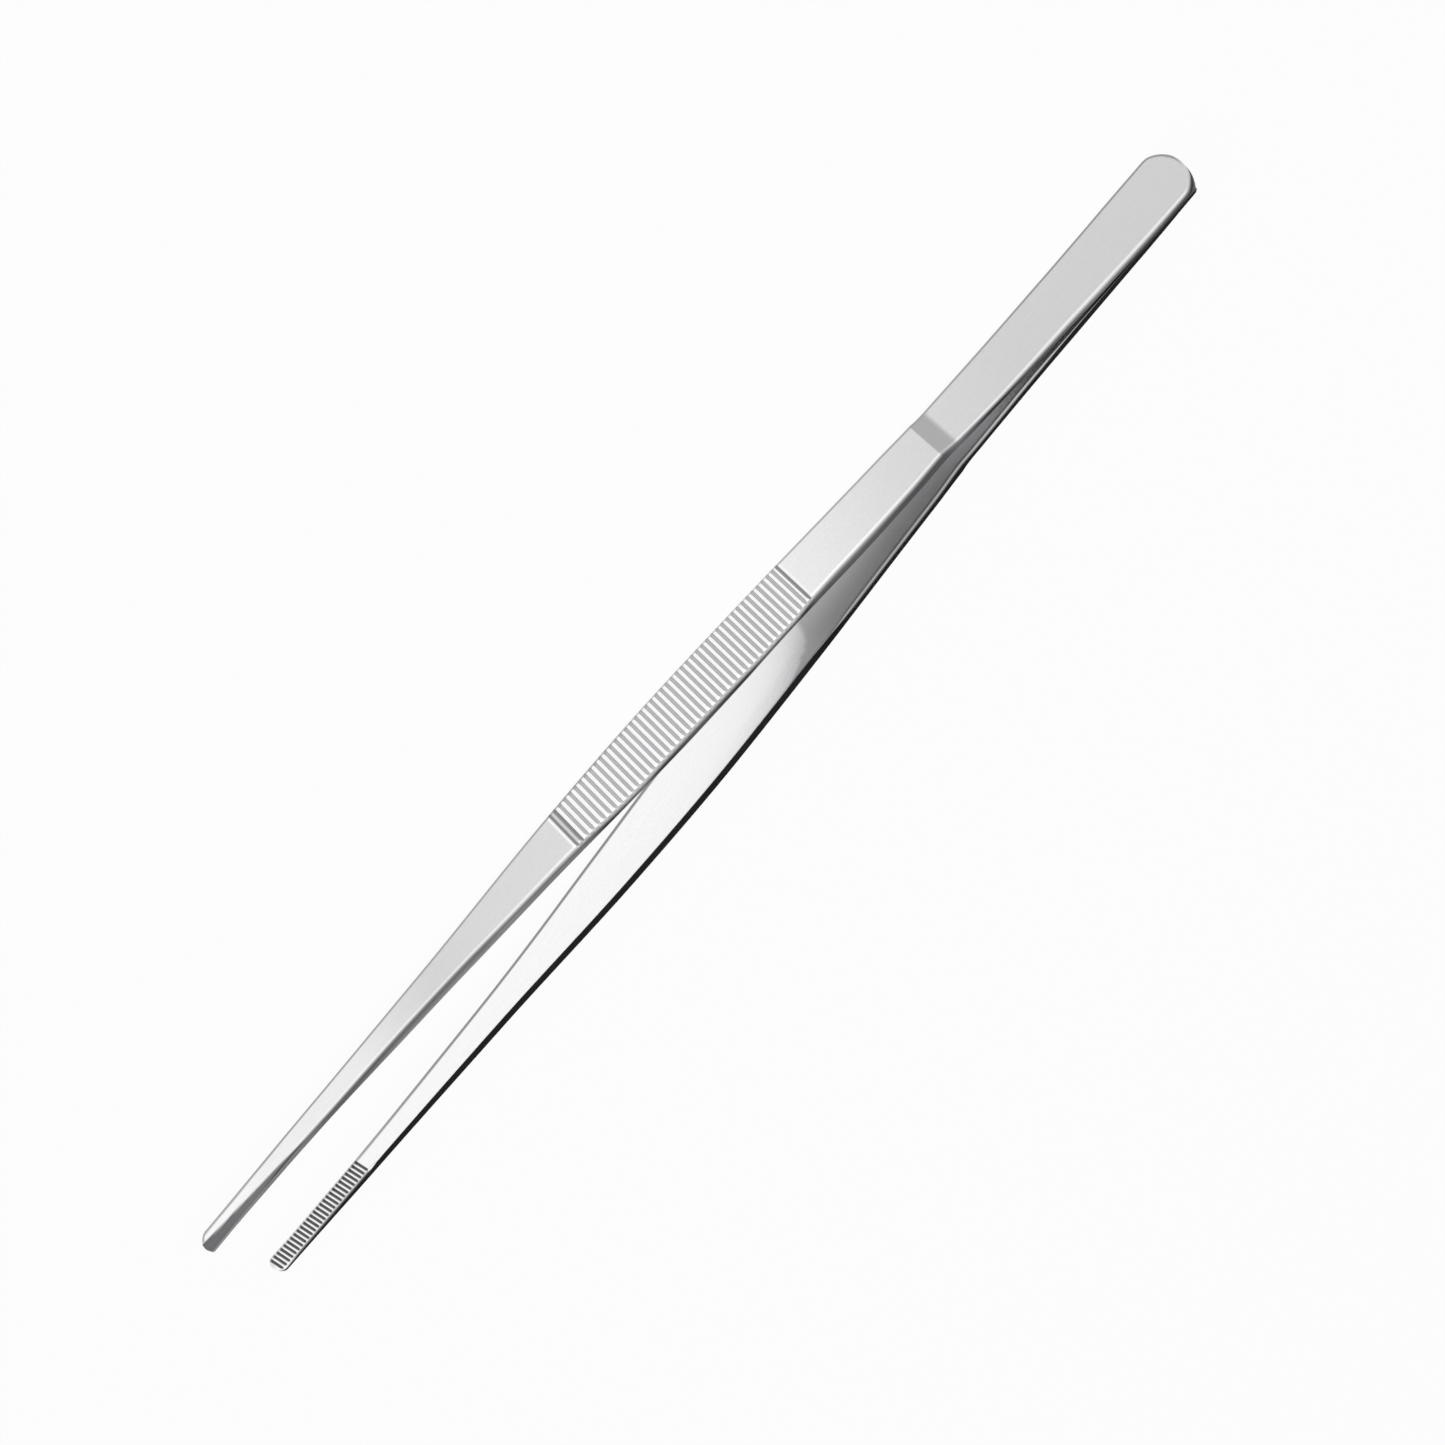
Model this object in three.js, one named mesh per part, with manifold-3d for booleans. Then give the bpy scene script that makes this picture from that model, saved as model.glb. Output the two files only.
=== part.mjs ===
// Aquascaping tweezers at rest, open: two long stainless steel arms, spot welded together at the heel.
// Millimetres. X runs from the heel to the tips, Y is the way the arms open, Z is the width of the strips.
// The tweezers lie on the edges of their strips, with the origin under the middle of their length.
import * as THREE from "three";
import { mergeVertices } from "three/addons/utils/BufferGeometryUtils.js";
import Module from "manifold-3d";

// Zones of an arm along its length, from the heel to the tip
const HEEL_LENGTH = 31;
const LEAF_LENGTH = 34;
const STEP_LENGTH = 3.7;
const NECK_LENGTH = 35.3;
const SHANK_LENGTH = 76;
const TIP_MARGIN = 0.55;

// Ribs across the outer face of the grip: the lands between the grooves widen towards the tips
const RIB_LAND_COUNT = 43;
const RIB_LAND_REAR = 0.58;
const RIB_LAND_FRONT = 0.7;
const END_LAND_REAR = 0.4;
const END_LAND_FRONT = 0.57;
const RIB_GROOVE_WIDTH = 0.75;
const RIB_GROOVE_DEPTH = 0.35;
const RIB_RISE = 0.12;

// Teeth across the inner face of the jaw, cut at a slant
const TOOTH_COUNT = 27;
const TOOTH_PITCH = 0.98;
const TOOTH_DEPTH = 0.5;
const TOOTH_SLANT = THREE.MathUtils.degToRad(14);
const SLANT_RUN_IN = 6;

// Width of the strip
const HEEL_WIDTH = 12;
const LEAF_REAR_WIDTH = 11.75;
const LEAF_FRONT_WIDTH = 9.95;
const WAIST_WIDTH = 9.55;
const GRIP_REAR_WIDTH = 10.6;
const GRIP_WIDTH = 11.3;
const GRIP_FRONT_WIDTH = 9.5;
const SHANK_WIDTH = 5.8;
const JAW_WIDTH = 3.95;
const TIP_WIDTH = 3.5;

// Length of the round end at the heel and at the tip
const HEEL_ROUND_LENGTH = 3.8;
const TIP_ROUND_LENGTH = 1.4;

// Thickness of the strip
const LEAF_THICKNESS = 1.5;
const GRIP_THICKNESS = 2.1;
const SHANK_THICKNESS = 2.05;
const JAW_THICKNESS = 1.8;
const TIP_THICKNESS = 1.5;

// Distance of an arm's inner face from the middle plane
const HEEL_CLEARANCE = 0.3;
const LEAF_HALF_GAP = 0.72;
const STEP_HALF_GAP = 1.95;
const NECK_HALF_GAP = 3.5;
const GRIP_REAR_HALF_GAP = 5.0;
const GRIP_HALF_GAP = 7.15;
const GRIP_FRONT_HALF_GAP = 9.05;
const SHANK_HALF_GAP = 10.2;
const JAW_HALF_GAP = 10.95;
const TIP_HALF_GAP = 11.5;

// Broken outer edges, and the larger bevels that point the tips
const EDGE_BREAK = 0.45;
const TIP_BEVEL_WIDTH = 1.25;
const TIP_BEVEL_DEPTH = 0.7;
const BEVEL_SHARE_OF_WALL = 0.8;

// Each arm is parted across the middle of its leaf, where it bends
const FLEXURE_CLEARANCE = 0.3;

// Spot welds between the heels, measured from the rear end
const NUGGET_RADIUS = 2.4;
const NUGGET_THICKNESS = 1.3;
const NUGGET_CLEARANCE = 0.3;
const REAR_NUGGET_AT = 9;
const FRONT_NUGGET_AT = 22;
const NUGGET_SIDES = 28;
const NUGGET_RINGS = 8;

// Fineness of the plain stretches and of the round ends
const PLAIN_STEP = 5;
const ROUND_STEPS = 6;
const CLOSEST_STATIONS = 0.03;

// Places along the arm where one zone meets the next
const stepStart = HEEL_LENGTH + LEAF_LENGTH;
const neckStart = stepStart + STEP_LENGTH;
const gripStart = neckStart + NECK_LENGTH;
const ribGrooves = placeRibGrooves();
const gripEnd = ribGrooves[ribGrooves.length - 1].end;
const gripMiddle = (gripStart + gripEnd) / 2;
const shankMiddle = gripEnd + SHANK_LENGTH / 2;
const jawStart = gripEnd + SHANK_LENGTH;
const jawEnd = jawStart + TOOTH_COUNT * TOOTH_PITCH;
const tipEnd = jawEnd + TIP_MARGIN;
const flexure = HEEL_LENGTH + LEAF_LENGTH / 2;

// The grooves of the grip one after the other, with the narrower lands at both ends of the row
function placeRibGrooves() {
  const lands = [END_LAND_REAR];
  for (let i = 0; i < RIB_LAND_COUNT; i += 1) {
    lands.push(THREE.MathUtils.lerp(RIB_LAND_REAR, RIB_LAND_FRONT, i / (RIB_LAND_COUNT - 1)));
  }
  lands.push(END_LAND_FRONT);
  const grooves = [{ start: gripStart, end: gripStart + RIB_GROOVE_WIDTH }];
  for (const land of lands) {
    const start = grooves[grooves.length - 1].end + land;
    grooves.push({ start, end: start + RIB_GROOVE_WIDTH });
  }
  return grooves;
}

// The stretch between two neighbouring points in which a place lies, and the share of it that is passed
function locate(points, place) {
  const inside = THREE.MathUtils.clamp(place, points[0][0], points[points.length - 1][0]);
  const next = Math.max(1, points.findIndex((point) => point[0] >= inside));
  const run = points[next][0] - points[next - 1][0];
  return { next, run, share: (inside - points[next - 1][0]) / run };
}

// Straight lines through points given as [place, value]
function lineThrough(points) {
  return (place) => {
    const { next, share } = locate(points, place);
    return THREE.MathUtils.lerp(points[next - 1][1], points[next][1], share);
  };
}

// A smooth curve through points given as [place, value], which never overshoots them
function curveThrough(points) {
  const steps = points.slice(1).map((p, i) => (p[1] - points[i][1]) / (p[0] - points[i][0]));
  const slopes = points.map((point, i) => {
    const before = steps[i - 1];
    const after = steps[i];
    if (before === undefined || after === undefined || before * after <= 0) return 0;
    return 2 * before * after / (before + after);
  });
  return (place) => {
    const { next, run, share } = locate(points, place);
    const start = points[next - 1][1];
    const rise = points[next][1] - start;
    const bend = run * ((1 - share) * slopes[next - 1] - share * slopes[next]);
    return start + rise * share * share * (3 - 2 * share) + bend * share * (1 - share);
  };
}

const widthAt = curveThrough([
  [0, HEEL_WIDTH],
  [HEEL_ROUND_LENGTH, HEEL_WIDTH],
  [HEEL_LENGTH, LEAF_REAR_WIDTH],
  [stepStart, LEAF_FRONT_WIDTH],
  [neckStart, WAIST_WIDTH],
  [gripStart, GRIP_REAR_WIDTH],
  [gripMiddle, GRIP_WIDTH],
  [gripEnd, GRIP_FRONT_WIDTH],
  [shankMiddle, SHANK_WIDTH],
  [jawStart, JAW_WIDTH],
  [tipEnd, TIP_WIDTH],
]);

const innerFaceAt = curveThrough([
  [0, HEEL_CLEARANCE / 2],
  [HEEL_LENGTH, HEEL_CLEARANCE / 2],
  [flexure, LEAF_HALF_GAP],
  [stepStart, STEP_HALF_GAP],
  [(neckStart + gripStart) / 2, NECK_HALF_GAP],
  [gripStart, GRIP_REAR_HALF_GAP],
  [gripMiddle, GRIP_HALF_GAP],
  [gripEnd, GRIP_FRONT_HALF_GAP],
  [shankMiddle, SHANK_HALF_GAP],
  [jawStart, JAW_HALF_GAP],
  [tipEnd, TIP_HALF_GAP],
]);

const thicknessAt = curveThrough([
  [0, LEAF_THICKNESS],
  [stepStart, LEAF_THICKNESS],
  [neckStart, GRIP_THICKNESS],
  [gripEnd, GRIP_THICKNESS],
  [shankMiddle, SHANK_THICKNESS],
  [jawStart, JAW_THICKNESS],
  [tipEnd, TIP_THICKNESS],
]);

const bevelGrowthAt = lineThrough([[jawStart, 0], [tipEnd, 1]]);
const slantGrowthAt = lineThrough([[jawStart - SLANT_RUN_IN, 0], [jawStart, 1]]);

// Height of the grip's ribbed surface over the plain outer face
const ribPoints = ribGrooves.flatMap((groove, i) => [
  [groove.start, i === 0 ? 0 : RIB_RISE],
  [(groove.start + groove.end) / 2, RIB_RISE - RIB_GROOVE_DEPTH],
  [groove.end, i === ribGrooves.length - 1 ? 0 : RIB_RISE],
]);
const ribHeightAt = lineThrough(ribPoints);

// Depth of the jaw's teeth under the plain inner face
const toothPoints = [[jawStart, 0]];
for (let i = 0; i < TOOTH_COUNT; i += 1) {
  toothPoints.push([jawStart + (i + 0.5) * TOOTH_PITCH, TOOTH_DEPTH]);
  toothPoints.push([jawStart + (i + 1) * TOOTH_PITCH, 0]);
}
const toothDepthAt = lineThrough(toothPoints);

// A round end: an arc over the full width, as points [distance from the end, share of the width]
function roundEnd(length, width) {
  const half = width / 2;
  const radius = (half * half + length * length) / (2 * length);
  const sweep = Math.atan2(half, radius - length);
  const points = [[0, Math.sin(sweep / (2 * ROUND_STEPS)) * radius / half]];
  for (let i = 1; i <= ROUND_STEPS; i += 1) {
    const angle = sweep * i / ROUND_STEPS;
    points.push([radius * (1 - Math.cos(angle)), radius * Math.sin(angle) / half]);
  }
  return points;
}
const heelRound = roundEnd(HEEL_ROUND_LENGTH, HEEL_WIDTH);
const tipRound = roundEnd(TIP_ROUND_LENGTH, TIP_WIDTH).map(([from, share]) => [tipEnd - from, share]).reverse();
const roundShareAt = lineThrough([...heelRound, ...tipRound]);

// Every place along the arm where its section is drawn
function placeStations() {
  const zones = [0, HEEL_LENGTH, flexure, stepStart, neckStart, gripStart];
  const frontZones = [gripEnd, shankMiddle, jawStart - SLANT_RUN_IN, jawStart];
  const places = [...heelRound, ...ribPoints, ...toothPoints, ...tipRound].map((point) => point[0]);
  for (const row of [zones, frontZones]) {
    for (let i = 1; i < row.length; i += 1) {
      const parts = Math.ceil((row[i] - row[i - 1]) / PLAIN_STEP);
      for (let k = 0; k <= parts; k += 1) places.push(THREE.MathUtils.lerp(row[i - 1], row[i], k / parts));
    }
  }
  places.sort((a, b) => a - b);
  return places.filter((place, i) => i === 0 || place - places[i - 1] > CLOSEST_STATIONS);
}
const stations = placeStations();

// Section of an arm at one place: six corners, with the outer edges broken
function sectionAt(place) {
  const half = widthAt(place) / 2 * roundShareAt(place);
  const inner = innerFaceAt(place);
  const plainOuter = inner + thicknessAt(place);
  const wall = thicknessAt(place) - TOOTH_DEPTH * slantGrowthAt(place);
  const growth = bevelGrowthAt(place);
  const bevelWidth = THREE.MathUtils.lerp(EDGE_BREAK, TIP_BEVEL_WIDTH, growth) * roundShareAt(place);
  const bevelDepth = THREE.MathUtils.lerp(EDGE_BREAK, TIP_BEVEL_DEPTH, growth);
  const flat = half - Math.min(bevelWidth, half * BEVEL_SHARE_OF_WALL);
  const shoulder = plainOuter - Math.min(bevelDepth, wall * BEVEL_SHARE_OF_WALL);
  const bite = inner + toothDepthAt(place);
  const outer = plainOuter + ribHeightAt(place);
  const slant = Math.tan(TOOTH_SLANT) * slantGrowthAt(place);
  const corners = [[bite, -half], [bite, half], [shoulder, half], [outer, flat], [outer, -flat], [shoulder, -half]];
  return corners.map(([y, z]) => new THREE.Vector3(place - slant * z, y, z));
}

// A closed body through sections of the same number of corners
function loft(sections) {
  const count = sections[0].length;
  const last = (sections.length - 1) * count;
  const faces = [];
  for (let i = 1; i < sections.length; i += 1) {
    for (let k = 0; k < count; k += 1) {
      const a = (i - 1) * count + k;
      const b = (i - 1) * count + (k + 1) % count;
      faces.push(a, a + count, b + count, a, b + count, b);
    }
  }
  for (let k = 1; k < count - 1; k += 1) {
    faces.push(0, k, k + 1);
    faces.push(last, last + k + 1, last + k);
  }
  const geometry = new THREE.BufferGeometry().setFromPoints(sections.flat());
  geometry.setIndex(faces);
  return geometry;
}

// The stretch of an arm between two places, drawn for the far side of the middle plane
function armStretch(from, to) {
  const between = stations.filter((place) => place > from + CLOSEST_STATIONS && place < to - CLOSEST_STATIONS);
  return loft([from, ...between, to].map(sectionAt));
}

const wasm = await Module();
wasm.setup();

// A solid that can be cut, from a closed geometry
function toSolid(geometry) {
  const bare = geometry.clone();
  bare.deleteAttribute("normal");
  bare.deleteAttribute("uv");
  const merged = mergeVertices(bare, 1e-4);
  const index = merged.index.array;
  const faces = [];
  for (let i = 0; i < index.length; i += 3) {
    const [a, b, c] = [index[i], index[i + 1], index[i + 2]];
    if (a !== b && b !== c && c !== a) faces.push(a, b, c);
  }
  return new wasm.Manifold(new wasm.Mesh({
    numProp: 3,
    vertProperties: new Float32Array(merged.attributes.position.array),
    triVerts: new Uint32Array(faces),
  }));
}

function toGeometry(solid) {
  const mesh = solid.getMesh();
  const geometry = new THREE.BufferGeometry();
  geometry.setAttribute("position", new THREE.BufferAttribute(mesh.vertProperties, 3));
  geometry.setIndex(new THREE.BufferAttribute(mesh.triVerts, 1));
  return geometry;
}

// A lens round the Y axis
function lens(radius, halfThickness) {
  const profile = [];
  for (let i = 0; i <= NUGGET_RINGS; i += 1) {
    const angle = Math.PI * (i / NUGGET_RINGS - 0.5);
    const reach = i === 0 || i === NUGGET_RINGS ? 0 : radius * Math.cos(angle);
    profile.push(new THREE.Vector2(reach, halfThickness * Math.sin(angle)));
  }
  return new THREE.LatheGeometry(profile, NUGGET_SIDES);
}

// Rear half of an arm, with the two hollows that hold its share of the spot welds
function heelGeometry() {
  let solid = toSolid(armStretch(0, flexure - FLEXURE_CLEARANCE / 2));
  for (const place of [REAR_NUGGET_AT, FRONT_NUGGET_AT]) {
    const hollow = lens(NUGGET_RADIUS + NUGGET_CLEARANCE, NUGGET_THICKNESS / 2 + NUGGET_CLEARANCE);
    solid = solid.subtract(toSolid(hollow.translate(place, 0, 0)));
  }
  return toGeometry(solid);
}

// Front half of an arm: leaf, neck, ribbed grip, shank and jaw
function frontGeometry() {
  return armStretch(flexure + FLEXURE_CLEARANCE / 2, tipEnd);
}

function nuggetGeometry() {
  return lens(NUGGET_RADIUS, NUGGET_THICKNESS / 2);
}

// Finishes
function satinSteel() {
  return new THREE.MeshStandardMaterial({ color: "#c9cbcd", metalness: 1, roughness: 0.32 });
}

function weldSteel() {
  return new THREE.MeshStandardMaterial({ color: "#9a9c9e", metalness: 1, roughness: 0.55 });
}

function named(name, geometry, material) {
  geometry.computeVertexNormals();
  const mesh = new THREE.Mesh(geometry, material);
  mesh.name = name;
  return mesh;
}

function nugget(name, place) {
  const mesh = named(name, nuggetGeometry(), weldSteel());
  mesh.position.x = place;
  return mesh;
}

// Both arms are the same part, and the near one is turned half a turn about the length
function arm(side) {
  const group = new THREE.Group();
  group.add(named(`${side}_arm_heel`, heelGeometry(), satinSteel()));
  group.add(named(`${side}_arm_front`, frontGeometry(), satinSteel()));
  return group;
}

const farArm = arm("far");
const nearArm = arm("near");
nearArm.rotation.x = Math.PI;

const tweezers = new THREE.Group();
tweezers.add(farArm, nearArm);
tweezers.add(nugget("rear_weld_nugget", REAR_NUGGET_AT));
tweezers.add(nugget("front_weld_nugget", FRONT_NUGGET_AT));
tweezers.position.set(-tipEnd / 2, 0, Math.max(HEEL_WIDTH, GRIP_WIDTH) / 2);

export default tweezers;
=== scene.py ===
"""Visual model of a pair of open aquascaping tweezers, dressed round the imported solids.

Two long stainless steel arms are spot welded together at the heel. Each arm is one strip: a heel, a thin
spring leaf, a step, a neck, a ribbed grip, a tapering shank, and a jaw with slanted teeth and a bevelled,
rounded tip. An arm is first drawn as a straight bar and then formed. Sizes are in millimetres until a mesh is
finished, which is in metres.
"""

import logging
import math
from bisect import bisect_left, bisect_right
from dataclasses import dataclass
from enum import Enum
from functools import cached_property
from typing import Any

import bmesh
import bpy
from bmesh.types import BMEdge, BMesh, BMVert
from bpy.types import Material, Node, NodeSocket, NodeTree, Object
from mathutils import Matrix, Quaternion, Vector


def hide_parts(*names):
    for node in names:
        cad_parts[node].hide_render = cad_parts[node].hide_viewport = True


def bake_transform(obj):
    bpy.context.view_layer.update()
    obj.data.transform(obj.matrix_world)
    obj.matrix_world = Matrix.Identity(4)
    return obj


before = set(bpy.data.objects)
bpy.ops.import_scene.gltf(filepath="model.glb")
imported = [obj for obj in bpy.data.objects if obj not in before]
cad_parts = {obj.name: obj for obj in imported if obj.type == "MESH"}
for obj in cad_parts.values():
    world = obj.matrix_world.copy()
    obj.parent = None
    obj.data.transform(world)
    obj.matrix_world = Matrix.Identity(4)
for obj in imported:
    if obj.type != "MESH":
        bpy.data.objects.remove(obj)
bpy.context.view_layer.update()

LOG = logging.getLogger("tweezers")
MM = 0.001
# Allowance where a place is compared with a groove's end
HAIR = 0.01
# The sRGB curve
SRGB_KNEE = 0.04045
SRGB_SLOPE = 12.92
SRGB_LIFT = 0.055
SRGB_POWER = 2.4


class Side(Enum):
    """Which of the two arms a piece is."""

    NEAR = "near"
    FAR = "far"


class Mark(Enum):
    """What the finish is told at each point of an arm, as a share from 0 to 1. The dull and dark marks are
    partly real finish and partly painted shade, and the polish is partly painted reflection.
    """

    POLISH = "polish"
    DULL = "dull"
    DARK = "dark"


Points = tuple[tuple[float, float], ...]
Marks = dict[Mark, float]


def linear(colour: str) -> tuple[float, float, float, float]:
    """Turns an sRGB colour into linear light.

    Args:
        colour: Six hex digits after a hash, such as "#cfd0d2".

    Returns:
        Red, green, blue and an alpha of 1.
    """
    shares = [int(colour[i : i + 2], 16) / 255 for i in (1, 3, 5)]
    curved = [((s + SRGB_LIFT) / (1 + SRGB_LIFT)) ** SRGB_POWER for s in shares]
    lit = [s / SRGB_SLOPE if s <= SRGB_KNEE else c for s, c in zip(shares, curved)]
    return (lit[0], lit[1], lit[2], 1.0)


def add_node(tree: NodeTree, kind: str, feeds: dict[Any, Any] | None = None, **settings: Any) -> Node:
    """Adds a node, sets it and feeds its sockets.

    Args:
        tree: The node tree that gets the node.
        kind: The end of the node's type, such as "Math" for "ShaderNodeMath".
        feeds: For each input socket by name or number, a value or another node's output.
        settings: Settings of the node itself.

    Returns:
        The new node.
    """
    node = tree.nodes.new(f"ShaderNode{kind}")
    for name, value in settings.items():
        setattr(node, name, value)
    for socket, value in (feeds or {}).items():
        if isinstance(value, NodeSocket):
            tree.links.new(value, node.inputs[socket])
        else:
            node.inputs[socket].default_value = value
    return node


def new_material(name: str) -> Material:
    """Makes a material with an empty node tree.

    Args:
        name: The material's name.

    Returns:
        The material.
    """
    material = bpy.data.materials.new(name)
    material.use_nodes = True
    material.node_tree.nodes.clear()
    return material


def finish_metal(tree: NodeTree, colour: Any, rough: Any, marks: Any, bump_mm: float) -> None:
    """Ends a material's node tree with bare metal.

    Args:
        tree: The material's node tree.
        colour: The colour, or the socket that gives it.
        rough: The roughness, or the socket that gives it.
        marks: The socket that gives the height of the surface marks, from 0 to 1.
        bump_mm: How high the highest of them stand.
    """
    bump = add_node(tree, "Bump", {"Height": marks, "Distance": bump_mm * MM, "Strength": 1.0})
    feeds = {"Base Color": colour, "Metallic": 1.0, "Roughness": rough, "Normal": bump.outputs[0]}
    shader = add_node(tree, "BsdfPrincipled", feeds)
    add_node(tree, "OutputMaterial", {"Surface": shader.outputs[0]})


def smooth(share: float) -> float:
    """A share held from 0 to 1, with soft ends."""
    held = min(1.0, max(0.0, share))
    return held * held * (3 - 2 * held)


def mix(low: float, high: float, share: float) -> float:
    """The value that lies at a share of the way from low to high."""
    return low + (high - low) * share


def soft_min(a: float, b: float, blend: float) -> float:
    """The smaller of two values, rounded over where they cross."""
    near = max(blend - abs(a - b), 0.0) / blend
    return min(a, b) - near * near * blend / 4


def along(points: Points, share: float) -> float:
    """Follows straight lines through points.

    Args:
        points: Shares of the way, in order, each with its value.
        share: The share to look at.

    Returns:
        The value there, and 0 outside the points.
    """
    for (x0, y0), (x1, y1) in zip(points, points[1:]):
        if x0 <= share <= x1:
            return mix(y0, y1, (share - x0) / (x1 - x0))
    return 0.0


@dataclass(frozen=True)
class Curve:
    """A smooth curve through points along the arm, which never overshoots them."""

    points: Points

    @cached_property
    def places(self) -> list[float]:
        """The places of the points."""
        return [place for place, _ in self.points]

    @cached_property
    def slopes(self) -> list[float]:
        """The slope at each point, level where the curve turns or ends."""
        steps = [(b[1] - a[1]) / (b[0] - a[0]) for a, b in zip(self.points, self.points[1:])]
        return [0.0, *(2 * a * b / (a + b) if a * b > 0 else 0.0 for a, b in zip(steps, steps[1:])), 0.0]

    def at(self, place: float) -> float:
        """The curve's value at a place along the arm.

        Args:
            place: Distance from the rear end, held between the first and the last point.

        Returns:
            The value there.
        """
        held = min(self.places[-1], max(self.places[0], place))
        after = max(1, bisect_left(self.places, held))
        (x0, y0), (x1, y1) = self.points[after - 1], self.points[after]
        run = x1 - x0
        share = (held - x0) / run
        bend = run * ((1 - share) * self.slopes[after - 1] - share * self.slopes[after])
        return y0 + (y1 - y0) * share * share * (3 - 2 * share) + bend * share * (1 - share)


@dataclass(frozen=True)
class Zones:
    """Lengths of an arm's zones, from the heel to the tip."""

    heel: float = 31.0
    leaf: float = 34.0
    step: float = 3.7
    neck: float = 35.3
    grip: float = 62.99
    shank: float = 76.0
    jaw: float = 26.46
    tip: float = 0.5

    @property
    def flexure(self) -> float:
        """The middle of the spring leaf, where the arm bends."""
        return self.heel + self.leaf / 2

    @property
    def step_start(self) -> float:
        """Where the leaf meets the step."""
        return self.heel + self.leaf

    @property
    def neck_start(self) -> float:
        """Where the step meets the thick part."""
        return self.step_start + self.step

    @property
    def grip_start(self) -> float:
        """Where the ribs begin."""
        return self.neck_start + self.neck

    @property
    def grip_end(self) -> float:
        """Where the ribs end."""
        return self.grip_start + self.grip

    @property
    def middle_grip(self) -> float:
        """The middle of the ribs."""
        return (self.grip_start + self.grip_end) / 2

    @property
    def middle_shank(self) -> float:
        """The middle of the shank."""
        return self.grip_end + self.shank / 2

    @property
    def jaw_start(self) -> float:
        """Where the teeth begin."""
        return self.grip_end + self.shank

    @property
    def end(self) -> float:
        """The arm's whole length."""
        return self.jaw_start + self.jaw + self.tip


@dataclass(frozen=True)
class RoundEnd:
    """An end of the strip that is round over the full width, seen on the flat."""

    length: float
    half: float
    blend: float
    # A hair of width is left at the very end, so that the last section isn't a point
    least: float = 0.004

    @property
    def radius(self) -> float:
        """The radius of the arc."""
        return (self.half**2 + self.length**2) / (2 * self.length)

    def half_at(self, distance: float, plain: float) -> float:
        """Half the width at a distance from the end.

        Args:
            distance: How far the place is from the end.
            plain: Half the width without the round end.

        Returns:
            Half the width with it.
        """
        if distance >= self.radius:
            return plain
        arc = math.sqrt(self.radius**2 - (self.radius - max(distance, self.least)) ** 2)
        return soft_min(plain, arc, self.blend) if distance > self.length / 2 else arc

    def inside(self, distance: float, across: float) -> float:
        """How far a point lies inside the arc, or the arc's radius for a point beyond its reach."""
        away = math.hypot(self.radius - distance, across) if distance < self.radius else 0.0
        return self.radius - away


@dataclass(frozen=True)
class Ribs:
    """Pressed ribs across the outer face of the grip: the lands between the grooves widen to the tips."""

    start: float
    lands: int = 43
    land_rear: float = 0.58
    land_front: float = 0.7
    end_land_rear: float = 0.4
    end_land_front: float = 0.57
    groove: float = 0.75
    depth: float = 0.35
    rise: float = 0.12
    edge_from: float = 0.15
    edge_run: float = 0.25
    shade_from: float = -0.3
    shade: float = 0.64
    end_shade: float = 0.95
    shade_power: float = 1.5
    bright_margin: float = 0.6
    # Shares of a groove's width and of its depth
    floor: Points = ((0.0, 0.0), (0.2, 0.74), (0.5, 1.0), (0.8, 0.74), (1.0, 0.0))

    @cached_property
    def grooves(self) -> list[float]:
        """Places the grooves one after the other.

        Returns:
            The start of each groove.
        """
        widths = [mix(self.land_rear, self.land_front, i / (self.lands - 1)) for i in range(self.lands)]
        starts = [self.start]
        for land in [self.end_land_rear, *widths, self.end_land_front]:
            starts.append(starts[-1] + self.groove + land)
        return starts

    @cached_property
    def end(self) -> float:
        """Where the last groove ends."""
        return self.grooves[-1] + self.groove

    def stations(self) -> list[float]:
        """Every place where a groove's section turns, and the middle of each land."""
        turns = [start + share * self.groove for start in self.grooves for share, _ in self.floor]
        return turns + [(a + self.groove + b) / 2 for a, b in zip(self.grooves, self.grooves[1:])]

    def hollow(self, place: float) -> float:
        """The share of a groove's full depth at a place, and 0 on the lands."""
        index = bisect_right(self.grooves, place) - 1
        return along(self.floor, (place - self.grooves[index]) / self.groove) if index >= 0 else 0.0

    def raised(self, place: float) -> float:
        """The share of the ribbed surface's rise over the plain face that a place has."""
        return 1.0 if self.start + HAIR < place < self.end - HAIR else 0.0

    def painted_groove_shade(self, place: float) -> float:
        """How dark the painted shade in a groove is: the two end grooves are the darkest."""
        at_end = place < self.grooves[1] - HAIR or place > self.grooves[-2] - HAIR
        return self.hollow(place) ** self.shade_power * (self.end_shade if at_end else self.shade)

    def buffing(self, place: float, plain: float) -> float:
        """The polish of the lands and of the narrow margins beside the row, and of the plain face elsewhere.

        Args:
            place: Distance from the rear end.
            plain: The plain face's polish there.

        Returns:
            A share from 0 to 1.
        """
        last_land = self.grooves[-2] + self.groove
        if last_land - HAIR < place < self.grooves[-1] + HAIR:
            return 0.0
        beside = max(self.start - place, place - self.end)
        return mix(1.0, plain, smooth((beside - self.bright_margin / 2) / (self.bright_margin / 2)))

    def reach(self, inside: float) -> float:
        """The share of their depth that the grooves have near an edge."""
        return smooth((inside - self.edge_from) / self.edge_run)

    def shade_reach(self, inside: float, side: float) -> float:
        """The share of their painted shade that the grooves have near an edge: it runs out over the sharp
        one.
        """
        return smooth((inside - mix(self.edge_from, self.shade_from, side)) / self.edge_run)


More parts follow.
